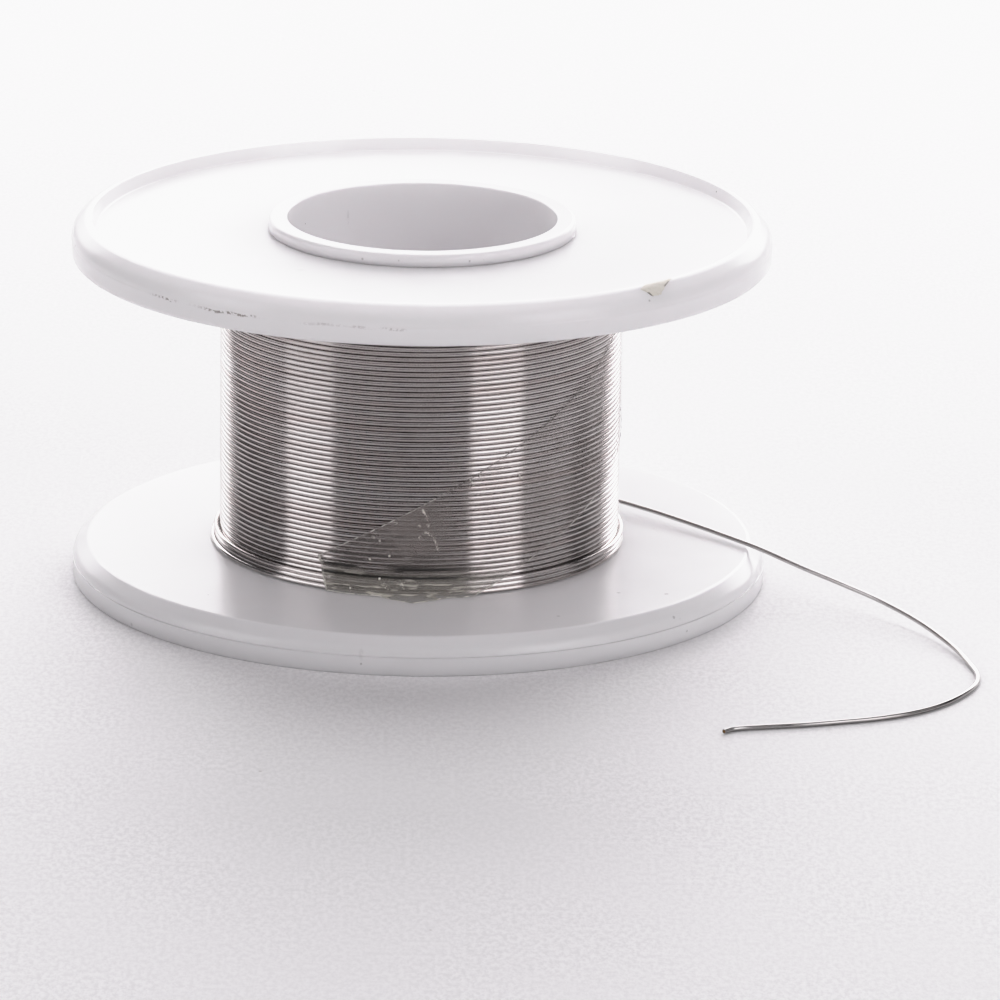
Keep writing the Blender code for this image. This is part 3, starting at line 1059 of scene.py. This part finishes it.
def make_tape(material):
    """The film: on the winding's ridges, down over the loose turns, torn off on the flange."""
    columns = 330
    rows = 96
    shape = bmesh.new()
    crease_layer = shape.verts.layers.float.new("crease")
    edge_layer = shape.verts.layers.float.new("edge")
    fold_layer = shape.verts.layers.float.new("fold")
    slack_layer = shape.verts.layers.float.new("slack")
    grid = []
    for column in range(columns + 1):
        share = column / columns
        base_angle = TAPE_START_ANGLE + (TAPE_FAR_ANGLE - TAPE_START_ANGLE) * share
        line = []
        for row in range(rows + 1):
            part = row / rows
            # The cut end leans: its foot is a few degrees further round than its head.
            lean = TAPE_START_LEAN * part * (1 - smoothstep(share / 0.25))
            angle = base_angle + lean
            if column == 0:
                angle += 0.5 * ripple(part * 14, 3.3)
            top = FOLD_DATUM - tape_top(base_angle) + 0.03 * ripple(angle * 0.9, 5.0)
            bottom = min(FOLD_DATUM - tape_bottom(angle), flap_limit(angle))
            down = top + (bottom - top) * part
            radius, height = fold_point(down)
            creased = crease_at(angle, height)
            slack = smoothstep((12.0 - height) / 8.0) * smoothstep((16.0 - angle) / 20.0)
            lift = film_lift(angle, height, slack, creased)
            if height < FLANGE_CONTACT:
                vertex = shape.verts.new(around(radius, angle, height + max(0.0, lift)))
            else:
                vertex = shape.verts.new(around(radius + max(-DEEPEST_DIP, lift), angle, height))
            to_edge = min(row, rows - row) * abs(bottom - top) / rows
            if column < 2:
                to_edge = CUT_END_EDGE
            vertex[crease_layer] = creased
            vertex[edge_layer] = 1.0 - smoothstep(to_edge / EDGE_WIDTH)
            vertex[fold_layer] = smoothstep((5.2 - height) / 1.2)
            vertex[slack_layer] = slack
            line.append(vertex)
        grid.append(line)
    skin_grid(shape, grid)
    film = add_object("clear_tape_film", finish_mesh("clear_tape_film", shape), material)
    skin = film.modifiers.new("thickness", "SOLIDIFY")
    skin.thickness = TAPE_THICKNESS * MM
    skin.offset = 0.0
    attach(film, "spool")
    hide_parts("clear_tape")
    return film


# ---------------------------------------------------------------- studio

def make_floor():
    """A wide table top under everything."""
    mesh = bpy.data.meshes.new("table")
    half = 1.5
    corners = [(-half, -half, 0), (half, -half, 0), (half, half, 0), (-half, half, 0)]
    mesh.from_pydata(corners, [], [(0, 1, 2, 3)])
    floor = add_object("table", mesh, pale_floor("table_laminate"))


# Soft boxes in the room: lowest and highest azimuth from the camera's side towards +X, lowest and
# highest elevation, brightness. They fan out with height.
SOFT_BOXES = [
    (-82.5, -51, -12, 18, 1.50),
    (-82.5, -51, 18, 46, 2.10),
    (29, 59.5, -12, 18, 2.40),
    (29, 59.5, 18, 46, 2.50),
    (29, 59.5, 46, 76, 0.40),
    (59.5, 98, 18, 46, 0.50),
    (112, 134, -12, 18, 0.45),
    (-15, 26, 46, 76, 0.35),
    (134, 184, -12, 18, 1.12),
    (-184, -137, -12, 18, 1.12),
]
BOX_SOFTNESS = 1.5
FAN = 0.5
FAN_ELEVATION = 60.0
AMBIENT = 0.06
LIGHT_TINT = (1.0, 0.972, 1.0)


def light_room():
    """A dim studio with soft boxes on both sides of the camera and a lit backdrop behind the spool."""
    world = bpy.data.worlds.new("studio")
    bpy.context.scene.world = world
    world.use_nodes = True
    nodes = Nodes(world.node_tree)
    direction = nodes.add("TexCoord").outputs["Generated"]
    angle, height = polar(nodes, direction)
    azimuth = nodes.math("DEGREES", angle)
    elevation = nodes.math("DEGREES", nodes.math("ARCSINE", height))
    above = nodes.math("MAXIMUM", nodes.math("DIVIDE", elevation, FAN_ELEVATION), 0.0)
    spread = nodes.product(nodes.math("POWER", above, 3.0), FAN)
    azimuth = nodes.math("DIVIDE", azimuth, nodes.math("ADD", spread, 1.0))
    total = AMBIENT
    for left, right, low, high, brightness in SOFT_BOXES:
        across = nodes.band(azimuth, left, right, BOX_SOFTNESS)
        upwards = nodes.band(elevation, low, high, BOX_SOFTNESS)
        total = nodes.math("ADD", total, nodes.product(across, upwards, brightness))
    background = world.node_tree.nodes["Background"]
    background.inputs["Color"].default_value = (*LIGHT_TINT, 1.0)
    nodes.feed(background.inputs["Strength"], total)


# Lights behind the spool, aimed at it: place and size in metres, power in watts.
PANELS = [
    ("right_panel", (0.25, 0.55, 0.20), (0.4, 0.2), 0.95),
    ("left_panel", (-0.20, 0.55, 0.20), (0.4, 0.2), 0.45),
    ("near_panel", (0.0, 0.15, 0.35), (0.3, 0.2), 0.56),
    ("low_panel", (0.0, 0.30, 0.20), (0.4, 0.15), 0.64),
]


def add_panel(name, place, size, power):
    data = bpy.data.lights.new(name, "AREA")
    data.shape = "RECTANGLE"
    data.size, data.size_y = size
    data.energy = power
    data.color = LIGHT_TINT
    light = bpy.data.objects.new(name, data)
    light.location = place
    light.rotation_euler = (-Vector(place)).to_track_quat("-Z", "Y").to_euler()
    bpy.context.scene.collection.objects.link(light)
    return light


# The camera's tone curve: scene brightness, and what it shows as. Whites roll off below full white.
TONES = [(0.0, 0.0), (0.30, 0.305), (0.60, 0.61), (0.90, 0.855), (1.20, 0.93), (1.60, 0.955)]


def set_tones():
    """Plain colours with a photographic shoulder, so that white plastic keeps its shading."""
    view = bpy.context.scene.view_settings
    view.view_transform = "Standard"
    view.use_curve_mapping = True
    mapping = view.curve_mapping
    white = TONES[-1][0]
    mapping.white_level = (white, white, white)
    mapping.extend = "HORIZONTAL"
    points = mapping.curves[3].points
    for scene, shown in TONES[1:-1]:
        points.new(scene / white, shown)
    points[0].location = TONES[0]
    points[len(points) - 1].location = (1.0, TONES[-1][1])
    mapping.update()


# The camera: millimetres, metres for its place, and degrees down, to the left and of roll.
CAMERA_SENSOR = 36.0
CAMERA_LENS = 250.4
CAMERA_PLACE = (0.0, -0.53868, 0.16806)
CAMERA_DOWN = 16.750
CAMERA_TURN = -0.694
CAMERA_ROLL = 0.830


def place_camera():
    """A long lens in front of the spool and above it, looking down."""
    data = bpy.data.cameras.new("camera")
    data.sensor_width = CAMERA_SENSOR
    data.lens = CAMERA_LENS
    camera = bpy.data.objects.new("camera", data)
    camera.location = CAMERA_PLACE
    camera.rotation_euler = (math.radians(90 - CAMERA_DOWN), 0.0, math.radians(CAMERA_TURN))
    camera.rotation_euler.rotate_axis("Z", math.radians(CAMERA_ROLL))
    bpy.context.scene.collection.objects.link(camera)
    bpy.context.scene.camera = camera


# ---------------------------------------------------------------- the whole

place_camera()
light_room()
for panel in PANELS:
    add_panel(*panel)
set_tones()
make_floor()

bright_solder = (0.61, 0.585, 0.575, 1)
dull_solder = (0.545, 0.495, 0.48, 1)
# The tail's solder is a darker copy of the wire's: painted shade for the dark surroundings its free
# wire reflects.
tail_bright_painted_shade = (0.54, 0.53, 0.525, 1)
tail_dull_painted_shade = (0.48, 0.46, 0.45, 1)
solder = solder_metal("solder_wire", bright_solder, dull_solder)
tail_painted_shade_solder = solder_metal(
    "tail_painted_shade_solder_wire", tail_bright_painted_shade, tail_dull_painted_shade, drawn_shine=0.0, end_tone=0.72)
make_wire_tail(tail_painted_shade_solder)
make_loose_turns(solder)
make_outer_turns(solder)
make_inner_turns(solder)

flange_depth = 3.5
core_depth = 0.8
lower_plastic = white_plastic("lower_white_plastic", flange_depth, LOWER_MARKS)
upper_plastic = white_plastic("upper_white_plastic", flange_depth, UPPER_MARKS, upper_dirt)
make_flange("lower_flange_shell", "lower_flange", LOWER_FACE, False, lower_plastic)
make_flange("upper_flange_shell", "upper_flange", UPPER_FACE, True, upper_plastic)
make_core(white_plastic("core_white_plastic", core_depth, CORE_MARKS))
make_gate_scar(scar_plastic("yellowed_scar"))
make_tape(tape_film("clear_film_haze"))
